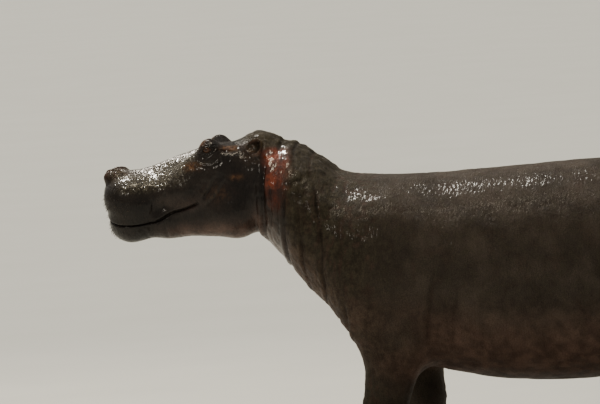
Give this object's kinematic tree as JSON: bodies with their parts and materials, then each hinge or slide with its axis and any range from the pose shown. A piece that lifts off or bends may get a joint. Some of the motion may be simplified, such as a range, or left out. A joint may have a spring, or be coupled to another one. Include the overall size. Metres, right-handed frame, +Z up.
{
  "type": "hippopotamus",
  "caption": "Life-size standing hippopotamus as a still model: raised level head, closed mouth, barrel trunk, short legs with nailed toes, short hanging tail.",
  "frame": {"origin": "on the floor, below the middle of the bounding box", "axes": "faces -Y, its left side towards +X, +Z up"},
  "size_m": [1.1282, 3.422, 1.6327],
  "materials": {
    "hide": "wet, bare, finely wrinkled dark brown-grey skin with red-brown folds",
    "eye": "wet dark brown eyeball",
    "nail": "dark horn toenail"
  },
  "bodies": {
    "root": {"head": "hide", "lower_jaw": "hide", "ear_left": "hide", "ear_right": "hide", "eye_left": "eye", "eye_right": "eye", "neck": "hide", "trunk": "hide", "tail": "hide", "foreleg_left": "hide", "foreleg_right": "hide", "hindleg_left": "hide", "hindleg_right": "hide", "nail_fore_left_1": "nail", "nail_fore_left_2": "nail", "nail_fore_left_3": "nail", "nail_fore_left_4": "nail", "nail_fore_right_1": "nail", "nail_fore_right_2": "nail", "nail_fore_right_3": "nail", "nail_fore_right_4": "nail", "nail_hind_left_1": "nail", "nail_hind_left_2": "nail", "nail_hind_left_3": "nail", "nail_hind_left_4": "nail", "nail_hind_right_1": "nail", "nail_hind_right_2": "nail", "nail_hind_right_3": "nail", "nail_hind_right_4": "nail"}
  },
  "joints": []
}
